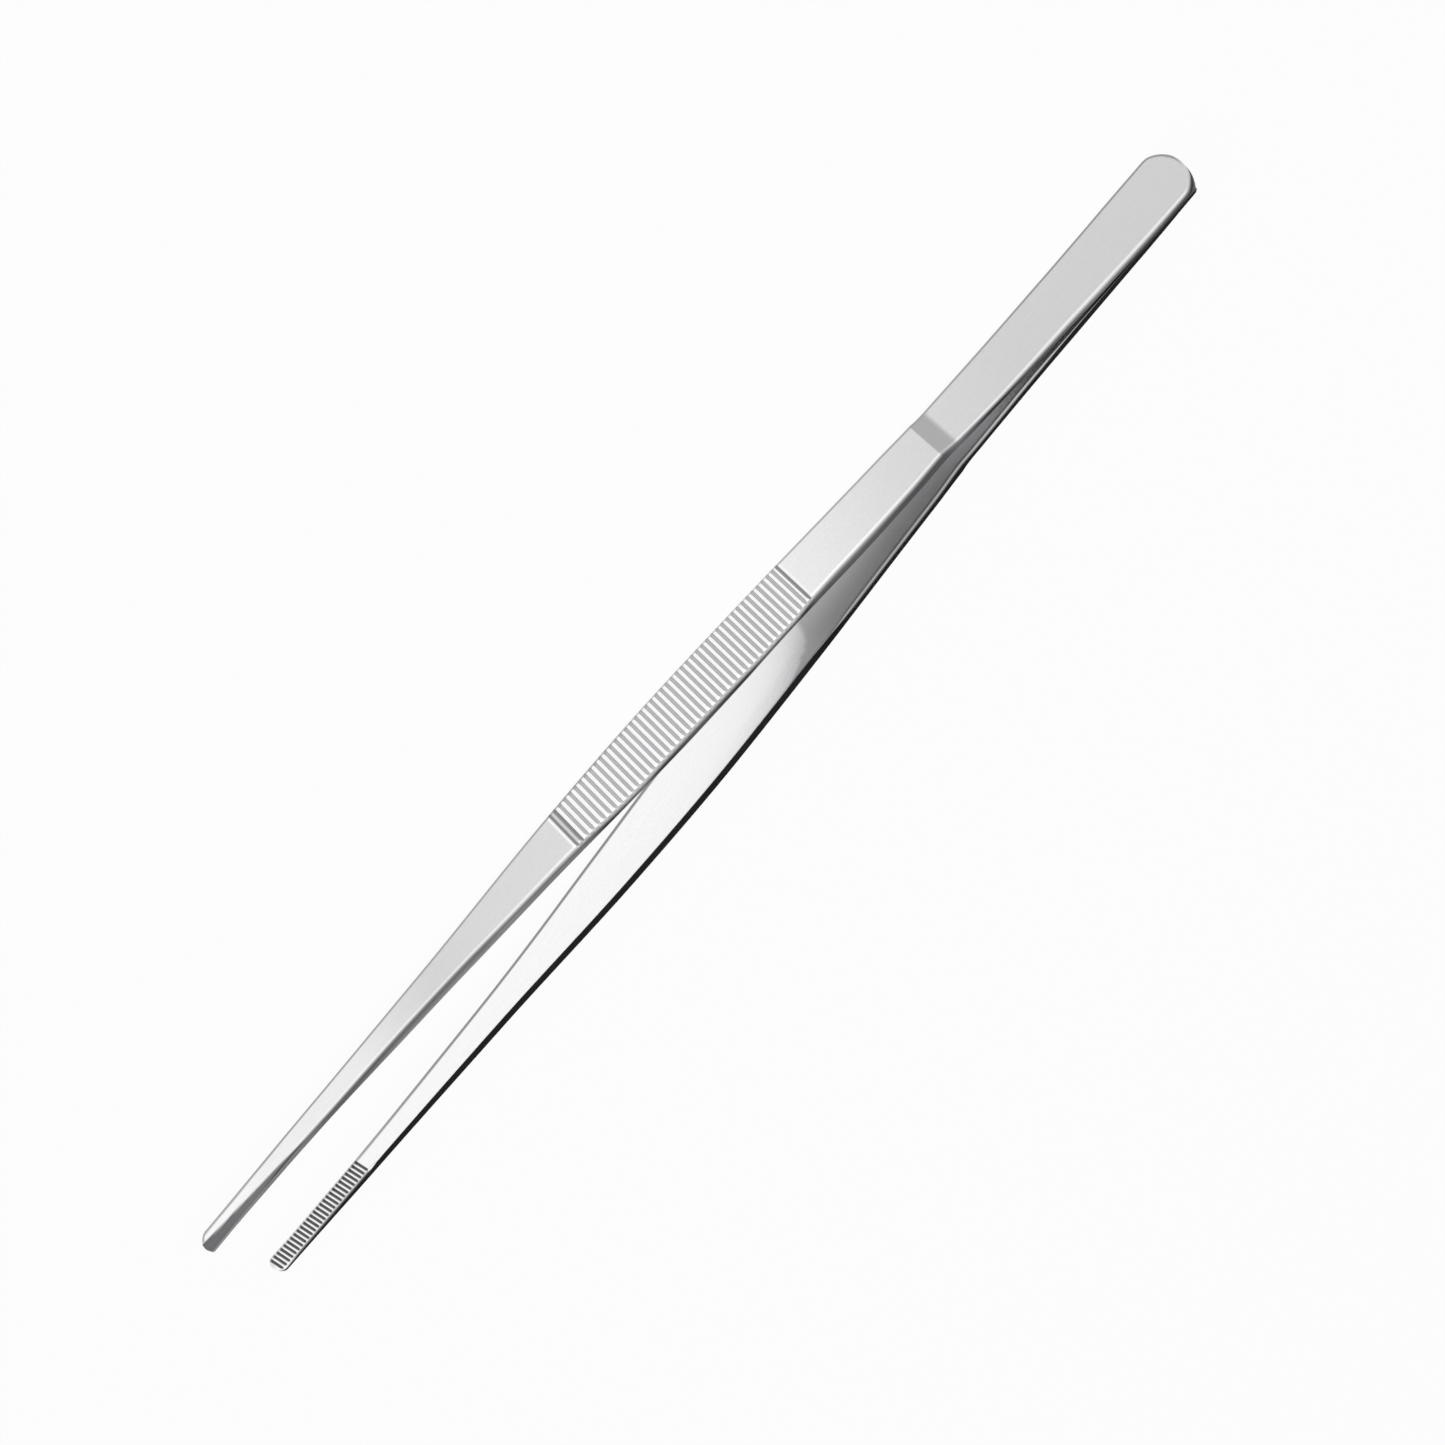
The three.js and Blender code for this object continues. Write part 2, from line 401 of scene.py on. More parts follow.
@dataclass(frozen=True)
class Teeth:
    """Teeth across the inner face of the jaw, cut at a slant, with narrow flat lands."""

    start: float
    count: int = 27
    pitch: float = 0.972
    depth: float = 0.46
    slant: float = math.radians(14)
    run_in: float = 6.0
    edge_fade: float = 0.22
    sharp_edge_fade: float = 0.8
    # Shares of the pitch and of the depth
    notch: Points = ((0.0, 0.0), (0.3, 0.0), (0.6, 0.96), (0.7, 0.96), (1.0, 0.0))

    @property
    def end(self) -> float:
        """Where the last tooth ends."""
        return self.start + self.count * self.pitch

    def stations(self) -> list[float]:
        """Every place where a notch's section turns."""
        return [self.start + (i + share) * self.pitch for i in range(self.count) for share, _ in self.notch]

    def hollow(self, place: float) -> float:
        """The share of a notch's full depth at a place, and 0 outside the row."""
        share = (place - self.start) / self.pitch % 1.0
        return along(self.notch, share) if self.start < place < self.end else 0.0

    def reach(self, inside: float, side: float) -> float:
        """The share of their depth that the notches have near an edge."""
        return smooth(inside / mix(self.edge_fade, self.sharp_edge_fade, side))

    def lean(self, place: float) -> float:
        """How far a section leans for each millimetre of width, growing from nothing before the jaw."""
        return math.tan(self.slant) * min(1.0, max(0.0, (place - self.start + self.run_in) / self.run_in))


@dataclass(frozen=True)
class WeldPockets:
    """Hollows in the inner face of the heel, which hold the spot welds."""

    places: tuple[float, ...] = (9.0, 22.0)
    radius: float = 2.7
    depth: float = 0.95
    step: float = 0.6

    def depth_at(self, place: float, across: float) -> float:
        """How far a pocket's roof lies from the middle plane, and 0 outside the pockets."""
        away = min(math.hypot(place - middle, across) for middle in self.places)
        return self.depth * math.sqrt(max(0.0, 1 - (away / self.radius) ** 2))

    def stations(self) -> list[float]:
        """Places close enough together to draw the pockets."""
        count = math.ceil(self.radius / self.step)
        return [middle + i * self.step for middle in self.places for i in range(-count, count + 1)]


@dataclass(frozen=True)
class TipBevels:
    """Two bevels that grow to the tip: a large one along the rounded outer edge, a small one opposite."""

    end: float
    start: float = 241.0
    width: float = 1.75
    depth: float = 0.7
    border: float = 0.26
    # The large bevel is painted dark grey: partly its ground finish and partly a painted dark reflection
    tone: float = 0.98
    first_tone: float = 0.7
    small: float = 0.45

    def at(self, place: float, across: float, inside: float, half: float) -> tuple[float, float, float]:
        """The bevels at a point of the outer face.

        Args:
            place: Distance from the rear end.
            across: Distance from the middle of the strip's width.
            inside: Distance inside the strip's outline.
            half: Half the strip's width there, without its round end.

        Returns:
            How far they drop from the face, how dark the large one is painted, partly its ground finish and
            partly a painted dark reflection, and the width of the small one.
        """
        growth = (place - self.start) / (self.end - self.start)
        if growth <= 0:
            return 0.0, 0.0, 0.0
        width, small = self.width * growth, self.small * growth
        left = width - half - across
        large_drop = self.depth * min(1.0, 2 * growth) * max(0.0, left / width)
        small_drop = max(0.0, small - inside) if across > 0 else 0.0
        cover = min(1.0, max(0.0, left / self.border + 0.5))
        tone = mix(self.tone, 1.0, min(1.0, abs(2 * left / width - 1)) ** 2)
        return max(large_drop, small_drop), cover * tone * min(1.0, self.first_tone + growth), small


@dataclass(frozen=True)
class EdgeLines:
    """Dark lines painted as shade beside the edges: their widths, and how dark they are."""

    outer: float = 0.52
    inner: float = 0.74
    rim: float = 0.3
    jaw: float = 0.3
    fade: float = 0.15
    outer_dark: float = 0.55
    inner_dark: float = 0.85
    rim_dark: float = 0.3
    jaw_dark: float = 0.85
    # The jaw's line runs out before the tip
    jaw_run_out: float = 5.0
    jaw_stop: float = 1.0

    def at(self, inside: float, width: float) -> float:
        """The share of a line of the given width at a distance inside the edge."""
        return 1 - smooth((inside - width + self.fade) / self.fade)

    def in_jaw(self, place: float, zones: Zones) -> float:
        """The share of the jaw's line that a place has."""
        run_out = smooth((zones.end - self.jaw_stop - place) / self.jaw_run_out)
        return smooth(place - zones.jaw_start) * run_out


@dataclass(frozen=True)
class SatinStainless:
    """Stainless spring steel, blasted to a fine satin and buffed where a wheel can reach.

    The eye sees a soft even grey on the outer faces, and near white on the buffed inner faces, lands and
    edges. The darker greys are painted shade between the leaves, beside the edges, on the walls, in the
    grooves and in the teeth; on the step they are partly real ground finish and partly painted shade, and on
    the ground bevels partly real ground finish and partly a painted dark reflection.
    """

    satin: str = "#d4d4d5"
    buffed: str = "#fbfbfc"
    dull: str = "#aeaeaf"
    # The dark colour is painted shade in the grooves, the notches, beside the edges, on the walls and between
    # the heels; on the ground bevels it is partly their real finish
    dark: str = "#6b6b6d"
    satin_rough: float = 0.36
    buffed_rough: float = 0.17
    dull_rough: float = 0.4
    # Blasting marks are really about 0.05 mm across and are drawn at 0.5 mm, so that they show at all
    grain_mm: float = 0.5
    grain_detail: float = 3.0
    grain_rough: float = 0.6
    # Marks of the finishing belt run along the arm
    belt_long_mm: float = 9.0
    belt_wide_mm: float = 0.2
    belt_detail: float = 2.0
    belt_share: float = 0.4
    tone_change: float = 0.1
    rough_change: float = 0.1
    bump_mm: float = 0.006

    def make(self) -> Material:
        """Makes the material, which reads the arm's marks.

        Returns:
            The material.
        """
        material = new_material("satin_stainless_steel")
        tree = material.node_tree
        place = add_node(tree, "TexCoord").outputs["Object"]
        marks = self._surface_marks(tree, place)
        colour: Any = linear(self.satin)
        rough: Any = self.satin_rough
        # The polish, dull and dark marks mix in colours that partly paint reflection and shade
        for mark, other, other_rough in (
            (Mark.POLISH, self.buffed, self.buffed_rough),
            (Mark.DULL, self.dull, self.dull_rough),
            (Mark.DARK, self.dark, self.dull_rough),
        ):
            share = add_node(tree, "Attribute", attribute_name=mark.value).outputs["Fac"]
            feeds = {0: share, 6: colour, 7: linear(other)}
            colour = add_node(tree, "Mix", feeds, data_type="RGBA").outputs[2]
            rough = add_node(tree, "Mix", {0: share, 2: rough, 3: other_rough}).outputs[0]
        tones = {"Value": marks, "To Min": 1 - self.tone_change, "To Max": 1 + self.tone_change}
        tone = add_node(tree, "MapRange", tones).outputs[0]
        toned = add_node(tree, "VectorMath", {0: colour, 1: tone}, operation="MULTIPLY").outputs[0]
        offsets = {"Value": marks, "To Min": -self.rough_change, "To Max": self.rough_change}
        offset = add_node(tree, "MapRange", offsets).outputs[0]
        both = {0: rough, 1: offset}
        roughened = add_node(tree, "Math", both, operation="ADD", use_clamp=True).outputs[0]
        finish_metal(tree, toned, roughened, marks, self.bump_mm)
        return material

    def _surface_marks(self, tree: NodeTree, place: NodeSocket) -> NodeSocket:
        """Lays the belt's drawn-out marks over the fine blasting grain.

        Args:
            tree: The material's node tree.
            place: The position on the object.

        Returns:
            A height from 0 to 1.
        """
        scale = 1 / (self.grain_mm * MM)
        fine = {"Vector": place, "Scale": scale, "Detail": self.grain_detail, "Roughness": self.grain_rough}
        grain = add_node(tree, "TexNoise", fine).outputs[0]
        wide = 1 / (self.belt_wide_mm * MM)
        stretch = {"Vector": place, "Scale": (1 / (self.belt_long_mm * MM), wide, wide)}
        drawn = add_node(tree, "Mapping", stretch).outputs[0]
        lines = {"Vector": drawn, "Scale": 1.0, "Detail": self.belt_detail}
        belt = add_node(tree, "TexNoise", lines).outputs[0]
        return add_node(tree, "Mix", {0: self.belt_share, 2: grain, 3: belt}).outputs[0]


@dataclass(frozen=True)
class WeldSteel:
    """Steel that melted in a spot weld: grey, finely rippled and a little blued by the heat."""

    cold: str = "#9a9c9e"
    blued: str = "#7d828c"
    rough: float = 0.5
    ripple_mm: float = 0.6
    ripple_detail: float = 4.0
    bump_mm: float = 0.03

    def make(self) -> Material:
        """Makes the material.

        Returns:
            The material.
        """
        material = new_material("weld_steel")
        tree = material.node_tree
        place = add_node(tree, "TexCoord").outputs["Object"]
        rippled = {"Vector": place, "Scale": 1 / (self.ripple_mm * MM), "Detail": self.ripple_detail}
        ripple = add_node(tree, "TexNoise", rippled).outputs[0]
        feeds = {0: ripple, 6: linear(self.cold), 7: linear(self.blued)}
        colour = add_node(tree, "Mix", feeds, data_type="RGBA").outputs[2]
        finish_metal(tree, colour, self.rough, ripple, self.bump_mm)
        return material


@dataclass(frozen=True)
class GapShade:
    """Painted shade on the inner faces in the gap between the arms, which gives way to polish ahead of a
    slanting front.
    """

    front: float = 109.8
    slope: float = 0.3
    bend_from: float = 1.5
    bend: float = 0.45
    first_share: float = 0.45
    first_run: float = 1.6
    fade: float = 8.0
    rear: Curve = Curve(((26.0, 0.0), (42.0, 0.35), (58.0, 0.3), (70.0, 0.05), (74.0, 0.0)))
    # How strong the painted shade on the inner face is behind the front
    shade_behind: Curve = Curve(((26.0, 0.6), (40.0, 0.0), (57.0, 0.08), (73.0, 0.58), (85.0, 0.78), (97.0, 0.82)))

    def at(self, place: float, across: float) -> float:
        """The share of polish at a point of an inner face, where the painted shade between the arms gives
        way.

        Args:
            place: Distance from the rear end.
            across: Distance from the middle of the strip's width.

        Returns:
            A share from 0 to 1.
        """
        past = place - self.front - self.slope * across - self.bend * max(across - self.bend_from, 0.0) ** 2
        if past <= 0:
            return self.rear.at(place)
        slow = 1 - math.exp(-past / self.fade)
        return mix(slow, 1.0, self.first_share) * smooth(past / self.first_run)


@dataclass
class Arm:
    """One arm of the tweezers, drawn for the far side of the middle plane."""

    side: Side
    zones: Zones = Zones()
    lines: EdgeLines = EdgeLines()
    thickness_leaf: float = 1.5
    thickness_grip: float = 2.1
    step_power: float = 1.7
    sharp_edge: float = 0.06
    inner_round_edge: float = 0.12
    tooth_lead: float = 0.1
    bevel_blend: float = 0.06
    # Where the outer face's polish starts inside its edges: at a share of the rounding, or a distance
    face_from_round: float = 0.3
    face_from_rib: float = 0.18
    face_from_sharp: float = 0.2
    face_run: float = 0.25
    # The step is dull, partly from its ground finish and partly as painted shade, from a little before it to
    # just past its sharp end
    step_lead: float = 0.3
    step_run: float = 1.2
    step_past: float = 0.11
    step_dull: float = 0.92
    step_edge_dull: float = 0.8
    # Painted shade darkens the inner face where the heels close on each other: it starts to run out before
    # the heel's end
    heel_shade_stop: float = 9.0
    heel_shade_run: float = 12.0
    tooth_shade_power: float = 0.7
    side_blend: float = 1.5
    flare_pivot: float = 0.4
    # Distances between sections and between the points across them
    plain_step: float = 2.0
    closest: float = 0.03
    same: float = 1e-4
    step_parts: int = 16
    beside_neck: tuple[float, ...] = (-0.1, 0.1, 0.35)
    beside_ribs: tuple[float, ...] = (0.06, 0.3, 0.45, 0.6)
    edge_steps: tuple[float, ...] = (0.0, 0.014, 0.056, 0.123, 0.21, 0.31, 0.42, 0.55, 0.7, 0.88, 1.12, 1.45)
    end_steps: tuple[float, ...] = (1.1, 1.5, 2.0, 2.6, 3.2, 3.8, 4.4)
    middle_steps: tuple[float, ...] = (-0.75, -0.5, -0.25, 0.0, 0.25, 0.5, 0.75)
    wall_shares: tuple[float, ...] = (0.0, 0.05, 0.5, 0.95, 1.0)
    depth_offset: float = 135.0
    height: float = 6.0
    crease_angle: float = 30.0

    def __post_init__(self) -> None:
        """Works out the arm's details and its curves."""
        z = self.zones
        self.ribs = Ribs(z.grip_start)
        self.teeth = Teeth(z.jaw_start - self.tooth_lead)
        self.pockets = WeldPockets()
        self.bevels = TipBevels(z.end)
        self.reach = GapShade()
        self.heel_end = RoundEnd(length=3.8 if self.near else 2.3, half=6.0, blend=0.5)
        self.tip_end = RoundEnd(length=1.4, half=1.75, blend=0.03)
        self._draw_section()
        self._draw_edges()
        self._draw_walls()
        self._draw_finish()

    @property
    def near(self) -> bool:
        """Whether this is the near arm."""
        return self.side is Side.NEAR

    def _draw_section(self) -> None:
        """Draws the width, the inner face's distance from the middle plane, and the thickness."""
        z = self.zones
        self.width = Curve((
            (0.0, 11.9), (12.0, 11.82), (25.6, 11.3), (36.5, 10.85), (47.6, 10.55), (60.0, 10.12),
            (z.step_start, 9.85), (z.neck_start, 9.45), (77.0, 9.95), (z.grip_start, 10.9),
            (z.middle_grip, 11.4), (z.grip_end, 9.6), (z.middle_shank, 5.8), (z.jaw_start, 3.95),
            (z.end, 3.5),
        ))
        self.inner = Curve((
            (0.0, 0.05), (12.0, 0.08), (18.5, 0.14), (25.6, 0.34), (37.0, 0.64), (z.flexure, 1.04),
            (60.0, 1.85), (z.step_start, 2.22), ((z.neck_start + z.grip_start) / 2, 3.57),
            (z.grip_start, 4.92), (z.middle_grip, 7.1), (z.grip_end, 8.95), (z.middle_shank, 10.1),
            (z.jaw_start, 10.93), (z.end, 11.42),
        ))
        # The heel strips are ground thinner to the rear, the far arm's most
        near_heel = ((5.5, 1.38), (11.0, 1.42), (18.5, 1.48))
        far_heel = ((0.0, 0.82), (5.5, 0.92), (11.0, 1.12), (18.5, 1.34))
        self.leaf_thickness = Curve((
            *(near_heel if self.near else far_heel),
            (28.0, 1.5), (37.0, 1.64), (z.flexure, 1.62), (62.0, self.thickness_leaf),
        ))
        self.front_thickness = Curve((
            (z.neck_start, self.thickness_grip), (z.grip_start - 5, self.thickness_grip),
            (z.grip_start + 5, 2.2), (z.grip_end, 2.2), (z.middle_shank, 2.15), (z.jaw_start, 1.75),
            (z.end, 1.3),
        ))

    def _draw_edges(self) -> None:
        """Draws the radius of the outer face's rounded edge and of the inner face's sharp one."""
        z = self.zones
        self.round_edge = Curve((
            (0.0, 0.8), (14.0, 1.05), (28.0, 1.2), (45.0, 1.0), (60.0, 0.75), (z.neck_start, 0.85),
            (87.0, 1.1), (z.grip_start, 1.15), (115.0, 1.1), (z.middle_grip, 1.3), (150.0, 1.25),
            (160.0, 1.35), (175.0, 1.2), (190.0, 0.95), (z.middle_shank, 0.8), (z.jaw_start, 0.7),
            (z.end, 0.45),
        ))
        self.sharp_inner_edge = Curve((
            (z.heel - 3, 0.06), (38.0, 0.18), (45.0, 0.45), (60.0, 0.55), (z.grip_start - 4, 0.55),
            (z.grip_start + 4, 0.1), (z.grip_start + 10, 0.06), (z.jaw_start - 0.7, 0.06),
            (z.jaw_start, 0.45), (z.end, 0.5),
        ))

    def _draw_walls(self) -> None:
        """Draws how the walls slant and stand out.

        The rounded side's wall is drawn in at its outer edge by wall_lean, spreads from there to its inner
        edge by wall_flare, and stands out whole by bulge. The sharp side's spreads by sharp_wall_lean.
        """
        z = self.zones
        near_lean = (
            (0.0, 0.06), (z.step_start, 0.03), (77.0, -0.12), (92.0, 0.0), (99.0, 0.06), (z.grip_start, 0.0),
            (110.0, -0.4), (116.0, -0.38), (126.0, -0.05), (z.middle_grip, 0.06), (144.0, -0.04),
            (151.0, -0.3), (158.0, -0.15), (164.0, 0.12), (173.0, 0.22), (183.0, 0.18), (233.0, 0.1),
            (z.jaw_start, 0.2), (z.end, 0.14),
        )
        far_lean = ((0.0, 0.06), (z.grip_start, 0.0), (z.grip_end, 0.05), (z.end, 0.14))
        self.wall_lean = Curve(near_lean if self.near else far_lean)
        # The near arm's wall spreads in the neck and in the shank, and the far arm's nowhere
        near_flare = (
            (54.0, 0.0), (z.step_start, 0.42), (z.neck_start + 3, 0.55), (87.0, 0.48),
            (z.grip_start - 7, 0.35), (z.grip_start + 2, 0.1), (z.grip_start + 8, 0.0), (160.0, 0.0),
            (173.0, -0.03), (185.0, 0.1), (197.0, 0.4), (213.0, 0.4), (z.jaw_start - 6, 0.0),
        )
        self.wall_flare = Curve(near_flare if self.near else ((0.0, 0.0), (z.end, 0.0)))
        self.sharp_wall_lean = Curve((
            (z.step_start, 0.0), (z.neck_start + 6, 0.25), (z.grip_start, 0.25), (z.grip_start + 12, 0.0),
        ))
        # On the rounded side the far arm's grip and both jaws stand out a little further, and the ends of the
        # near arm's grip and the far arm's shank a little less
        self.bulge = Curve(tuple((place, near if self.near else far) for place, near, far in (
            (z.grip_start - 14, 0.0, 0.0), (z.grip_start - 3, -0.1, 0.03), (z.grip_start + 8, -0.12, 0.26),
            (126.0, 0.02, 0.26), (155.0, 0.02, 0.26), (z.grip_end + 6, -0.13, 0.0), (188.0, 0.0, -0.15),
            (203.0, 0.0, -0.1), (220.0, 0.0, 0.0), (z.jaw_start, 0.05, 0.05), (256.0, 0.3, 0.3),
            (262.0, 0.42, 0.42), (z.end, 0.66, 0.66),
        )))

    def _draw_finish(self) -> None:
        """Draws how strong the painted shade of the edge lines and of the walls is, and the outer face's
        polish.
        """
        z = self.zones
        self.margin_depth = Curve((
            (z.heel, 0.8), (60.0, 0.6), (z.grip_start - 1, 0.45), (z.grip_start + 1, 0.12),
            (140.0, 0.2), (150.0, 0.45), (160.0, 0.55), (z.middle_shank, 0.6), (z.jaw_start, 0.65),
            (z.end, 0.65),
        ))
        self.inner_margin_depth = Curve((
            (135.0, 0.2), (146.0, 0.65), (160.0, 0.75), (z.middle_shank, 0.72), (z.jaw_start - 0.5, 0.55),
            (z.jaw_start + 0.5, 0.35), (z.end, 0.15),
        ))
        # The rounded side's wall has one shade beside the outer face and another beside the inner one
        shades = (
            (22.0, 0.6, 0.5), (34.0, 0.1, 0.1), (47.0, 0.3, 0.4), (57.0, 1.0, 1.0),
            (z.neck_start, 1.0, 1.0), (z.grip_start - 4, 0.85, 1.0), (z.grip_start + 6, 0.0, 0.0),
            (183.0, 0.0, 0.0), (194.0, 0.88, 0.34), (222.0, 0.9, 0.35), (238.0, 0.0, 0.0),
        )
        self.wall_shade = Curve(tuple((place, shade) for place, shade, _ in shades))
        self.wall_foot_shade = Curve(tuple((place, foot) for place, _, foot in shades))
        # The outer face's polish along the arm is partly real buffing and partly painted reflection
        self.face_polish = Curve((
            (0.0, 0.0), (45.0, 0.03), (60.0, 0.13), (73.0, 0.21), (82.0, 0.33), (97.0, 0.61),
            (z.grip_start, 0.72), (z.grip_start + 1, 1.0), (z.grip_end - 1, 1.0), (z.grip_end, 0.28),
            (190.0, 0.2), (203.0, 0.12), (212.0, 0.3), (226.0, 0.68), (241.0, 0.74), (251.0, 0.83),
            (260.0, 1.0),
        ))

    def thickness(self, place: float) -> float:
        """The strip's thickness: the step rises slowly from the leaf and ends sharp.

        Args:
            place: Distance from the rear end.

        Returns:
            The thickness there.
        """
        share = min(1.0, max(0.0, (place - self.zones.step_start) / self.zones.step))
        if share >= 1:
            return self.front_thickness.at(place)
        return mix(self.leaf_thickness.at(place), self.thickness_grip, share**self.step_power)

    def half_width(self, place: float) -> float:
        """Half the strip's width at a place, round ends included."""
        plain = self.width.at(place) / 2
        return self.tip_end.half_at(self.zones.end - place, self.heel_end.half_at(place, plain))

    def stations(self) -> list[float]:
        """Works out where the sections are drawn.

        Returns:
            Their places along the arm in order, without those that lie too close together.
        """
        z = self.zones
        stops = [0.0, z.heel, z.flexure, z.step_start, z.neck_start, z.grip_start, z.grip_end]
        stops += [z.middle_shank, z.jaw_start - self.teeth.run_in, z.jaw_start, z.end]
        places = [*stops, *self.ribs.stations(), *self.teeth.stations(), *self.pockets.stations()]
        for a, b in zip(stops, stops[1:]):
            parts = max(1, math.ceil((b - a) / self.plain_step))
            places += [mix(a, b, i / parts) for i in range(parts)]
        first, run = z.step_start - self.step_lead, z.step + self.step_lead
        places += [first + run * i / self.step_parts for i in range(self.step_parts)]
        places += [z.neck_start + beside for beside in self.beside_neck]
        for beside in self.beside_ribs:
            places += [z.grip_start - beside, z.grip_end + beside]
        fine = [*self.edge_steps, *self.end_steps]
        places += fine + [z.end - step for step in fine if step < self.tip_end.radius]
        kept: list[float] = []
        for place in sorted(places):
            if not kept or place - kept[-1] > self.closest or place in self.edge_steps:
                kept.append(place)
        return [place for i, place in enumerate(kept) if i == 0 or place - kept[i - 1] > self.same]

    def column(self, number: int, half: float) -> float:
        """Where a column of points lies across a strip: closer together near the edges.

        Args:
            number: The column's number.
            half: Half the strip's width.

        Returns:
            Its distance from the middle of the width.
        """
        edges, middles = len(self.edge_steps), len(self.middle_steps)
        if number < edges:
            return self.edge_steps[number] - half
        if number < edges + middles:
            return self.middle_steps[number - edges] * (half - self.edge_steps[-1])
        return half - self.edge_steps[2 * edges + middles - 1 - number]

    def edge_drop(self, inside: float, radius: float) -> float:
        """How far a rounded edge drops from its face at a distance inside the outline."""
        return radius - math.sqrt(radius**2 - max(radius - inside, 0.0) ** 2)

    def outer_point(self, place: float, inside: float, across: float, side: float) -> tuple[float, Marks]:
        """Height and marks of a point on the outer face.

        Args:
            place: Distance from the rear end.
            inside: Distance inside the strip's outline.
            across: Distance from the middle of the strip's width.
            side: 0 on the round-edged side and 1 on the sharp-edged side.

        Returns:
            Distance from the middle plane, and the share of each mark.
        """
        plain = self.inner.at(place) + self.thickness(place)
        reach = self.ribs.reach(inside)
        hollow = self.ribs.hollow(place) * reach
        rise = self.ribs.raised(place) * self.ribs.rise * reach
        # ground is how dark the large tip bevel is painted, partly its ground finish and partly a painted
        # dark reflection
        bevel, ground, small_bevel = self.bevels.at(place, across, inside, self.width.at(place) / 2)
        round_edge = self.round_edge.at(place)
        rounded = self.edge_drop(inside, mix(round_edge, self.sharp_edge, side))
        drop = -soft_min(-rounded, -bevel, self.bevel_blend) if bevel > 0 else rounded
        face_from = mix(self.face_from_round * round_edge, self.face_from_rib, self.ribs.raised(place))
        on_face = smooth((inside - mix(face_from, self.face_from_sharp, side)) / self.face_run)
        # The step is dull, partly its ground finish and partly painted shade
        on_step = place <= self.zones.neck_start + self.step_past
        step = smooth((place - self.zones.step_start + self.step_lead) / self.step_run) if on_step else 0.0
        # The edge line is painted shade along the sharp edge
        line = side * self.lines.at(inside, self.lines.outer + small_bevel) * self.margin_depth.at(place)
        # Painted shade darkens the grooves
        groove_shade = self.ribs.painted_groove_shade(place) * self.ribs.shade_reach(inside, side)
        marks = {
            Mark.POLISH: self.ribs.buffing(place, self.face_polish.at(place)) * on_face * (1 - step),
            Mark.DULL: max(step * mix(self.step_edge_dull, self.step_dull, on_face), line),
            Mark.DARK: max(groove_shade, ground, self.lines.outer_dark * line),
        }
        return plain + rise - hollow * self.ribs.depth - drop, marks

    def inner_point(self, place: float, inside: float, across: float, side: float) -> tuple[float, Marks]:
        """Height and marks of a point on the inner face.

        Args:
            place: Distance from the rear end.
            inside: Distance inside the strip's outline.
            across: Distance from the middle of the strip's width.
            side: 0 on the round-edged side and 1 on the sharp-edged side.

        Returns:
            Distance from the middle plane, and the share of each mark.
        """
        lines = self.lines
        # The notches are darkened with painted shade through the dark mark below
        hollow = self.teeth.hollow(place) * self.teeth.reach(inside, side)
        radius = mix(self.inner_round_edge, self.sharp_inner_edge.at(place), side)
        drop = max(self.edge_drop(inside, radius), hollow * self.teeth.depth)
        height = max(self.inner.at(place) + drop, self.pockets.depth_at(place, across))
        # Behind the gap's front the inner face gets painted shade between the arms, and ahead of it polish
        buffed = self.reach.at(place, across)
        # The inner line, the rim line and the jaw's foot line are painted shade along the edges
        line = (1 - side) * lines.at(inside, lines.inner) * self.inner_margin_depth.at(place)
        rim = side * lines.at(inside, radius + lines.rim) * (1 - buffed)
        # Painted shade where the heels close on each other
        heel_gap_shade = side * (1 - smooth((place - self.zones.heel + self.heel_shade_stop) / self.heel_shade_run))
        foot = side * lines.at(inside, lines.jaw) * lines.in_jaw(place, self.zones)
        lines_dark = max(lines.inner_dark * line, lines.rim_dark * rim, lines.jaw_dark * foot)
        marks = {
            Mark.POLISH: buffed * (1 - rim),
            Mark.DULL: max((1 - buffed) * self.reach.shade_behind.at(place), line, rim),
            Mark.DARK: max(hollow**self.tooth_shade_power, lines_dark, heel_gap_shade),
        }
        return height, marks

    def formed(self, place: float, row: int, column: int) -> tuple[Vector, Marks]:
        """Where a point of the straight bar lies on the finished arm.

        Args:
            place: Distance from the rear end.
            row: 0 on the outer face, and the last of the wall's rows on the inner face.
            column: Number of the point's column across the width.

        Returns:
            Its position in millimetres, and the share of each mark.
        """
        half = self.half_width(place)
        plain_half = self.width.at(place) / 2
        across = self.column(column, plain_half) * (half / plain_half)
        ends = (self.heel_end.inside(place, across), self.tip_end.inside(self.zones.end - place, across))
        inside = max(0.0, min(half - abs(across), *ends))
        side = smooth(across / plain_half * self.side_blend + 0.5)
        outer, outer_marks = self.outer_point(place, inside, across, side)
        inner, inner_marks = self.inner_point(place, inside, across, side)
        share = self.wall_shares[row]
        flare = self.wall_flare.at(place) * (share - self.flare_pivot)
        lean = self.wall_lean.at(place) * (1 - share) - flare - self.bulge.at(place)
        widening = self.sharp_wall_lean.at(place) * share
        z = across * (1 + (widening * side - lean * (1 - side)) / plain_half)
        marks = outer_marks if row == 0 else inner_marks
        # The rounded side's walls are darkened with painted shade
        if 0 < share < 1:
            shade = (1 - side) * mix(self.wall_shade.at(place), self.wall_foot_shade.at(place), share)
            marks = {Mark.POLISH: side, Mark.DULL: 0.0, Mark.DARK: shade}
        return Vector((place - self.teeth.lean(place) * z, mix(outer, inner, share), z)), marks

    def draw_bar(self) -> BMesh:
        """Draws the straight bar section by section.

        Returns:
            The bar: x is the place, y the row and z the column of each point.
        """
        columns = 2 * len(self.edge_steps) + len(self.middle_steps) - 1
        rows = len(self.wall_shares) - 1
        bar = bmesh.new()
